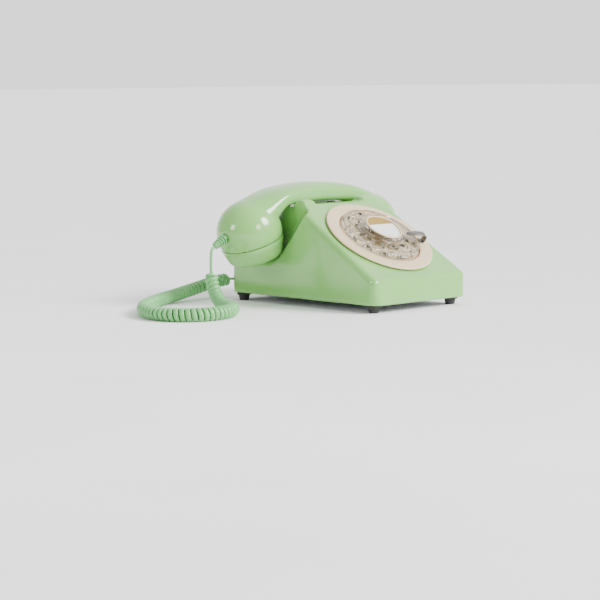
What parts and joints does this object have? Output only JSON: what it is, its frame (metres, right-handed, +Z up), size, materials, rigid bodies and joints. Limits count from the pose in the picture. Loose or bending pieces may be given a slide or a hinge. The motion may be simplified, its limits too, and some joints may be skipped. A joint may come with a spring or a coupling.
{
  "type": "rotary desk telephone",
  "caption": "Desk telephone with a wedge-shaped case, a rotary dial, a handset resting across a horned cradle and a curly handset cord.",
  "frame": {"origin": "on the table, under the middle of the case", "axes": "+X to the right as seen from the front, along the handset; +Y from the dial to the back; +Z up"},
  "size_m": [0.3346, 0.2282, 0.1125],
  "materials": {
    "green_abs": "gloss",
    "cream_abs": "gloss",
    "clear_acrylic": "clear",
    "label_paper": "matte",
    "window_clear": "clear",
    "number_print": "satin",
    "dark_zinc": "satin",
    "steel": "satin",
    "brass": "satin",
    "spring_steel": "satin",
    "black_rubber": "matte",
    "black_plastic": "satin",
    "ivory_nylon": "satin",
    "copper_coil": "satin",
    "bell_bronze": "polished",
    "board_green": "satin",
    "iron": "satin",
    "foil_yellow": "satin",
    "green_pvc": "satin",
    "capsule_alloy": "satin"
  },
  "bodies": {
    "base": {"case_shell": "green_abs", "base_plate": "steel", "rubber_feet": "black_rubber", "case_screws": "steel", "line_socket": "black_plastic", "cord_gland": "green_pvc", "dial_bezel": "cream_abs", "dial_number_plate": "number_print", "dial_front_plate": "steel", "dial_bridge_plate": "steel", "dial_pillars": "brass", "finger_stop": "dark_zinc", "finger_stop_screw": "steel", "mainspring": "spring_steel", "governor_cup": "steel", "impulse_contacts": "brass", "switch_bracket": "steel", "switch_lever_pin": "steel", "switch_spring": "spring_steel", "switch_contacts": "brass", "bell_gong_left": "bell_bronze", "bell_gong_right": "bell_bronze", "bell_posts": "steel", "ringer_frame": "iron", "ringer_coils": "copper_coil", "clapper_pin": "steel", "circuit_board": "board_green", "induction_coil": "iron", "capacitor": "foil_yellow", "terminal_block": "ivory_nylon", "cord_lead": "green_pvc", "cord_curl": "green_pvc", "cord_tail": "green_pvc"},
    "dial": {"finger_wheel": "clear_acrylic", "label_card": "label_paper", "label_window": "window_clear", "label_ring": "cream_abs", "dial_spindle": "brass", "main_gear": "brass"},
    "pinion": {"pinion_shaft": "brass", "governor_gear": "brass", "impulse_cam": "black_plastic"},
    "governor": {"governor_shaft": "brass", "governor_weights": "steel"},
    "plungers": {"plunger_left": "ivory_nylon", "plunger_right": "ivory_nylon", "plunger_bar": "black_plastic"},
    "lever": {"switch_lever": "steel"},
    "clapper": {"clapper_arm": "steel"},
    "handset": {"handset_handle": "green_abs", "mouthpiece_cap": "green_abs", "earpiece_cap": "green_abs", "microphone_capsule": "capsule_alloy", "receiver_capsule": "capsule_alloy", "handset_strain_relief": "green_pvc"}
  },
  "joints": [
    {"name": "dial_turn", "type": "hinge", "parent": "base", "child": "dial", "pos_m": [0, -0.04486, 0.06338], "axis": [0, 0.524, -0.8517], "range_deg": [0, 330], "stiffness_Nm_per_rad": 0.006, "springref_deg": -114.59},
    {"name": "pinion_spin", "type": "hinge", "parent": "base", "child": "pinion", "pos_m": [-0.027, -0.04486, 0.06338], "axis": [0, 0.524, -0.8517], "range_deg": [-1650, 0]},
    {"name": "governor_spin", "type": "hinge", "parent": "base", "child": "governor", "pos_m": [-0.0345, -0.0338, 0.07019], "axis": [0, 0.524, -0.8517], "range_deg": [0, 6600]},
    {"name": "handset_lift", "type": "slide", "parent": "base", "child": "handset", "axis": [0, 0, 1], "range_m": [0, 0.12]},
    {"name": "plunger_travel", "type": "slide", "parent": "base", "child": "plungers", "axis": [0, 0, 1], "range_m": [0, 0.006]},
    {"name": "switch_lever_turn", "type": "hinge", "parent": "base", "child": "lever", "pos_m": [0, 0.023, 0.06342], "axis": [1, 0, 0], "range_deg": [0, 12.5], "deforming": ["switch_spring"]},
    {"name": "clapper_swing", "type": "hinge", "parent": "base", "child": "clapper", "pos_m": [0, 0.044, 0.0208], "axis": [0, 0, 1], "range_deg": [-2.2, 2.2], "stiffness_Nm_per_rad": 0.002}
  ],
  "couplings": [
    {"joint": "pinion_spin", "follows": "dial_turn", "ratio": -5},
    {"joint": "governor_spin", "follows": "dial_turn", "ratio": 20},
    {"joint": "plunger_travel", "follows": "handset_lift", "ratio": 0.05},
    {"joint": "switch_lever_turn", "follows": "handset_lift", "rad_per_m": 1.81}
  ]
}
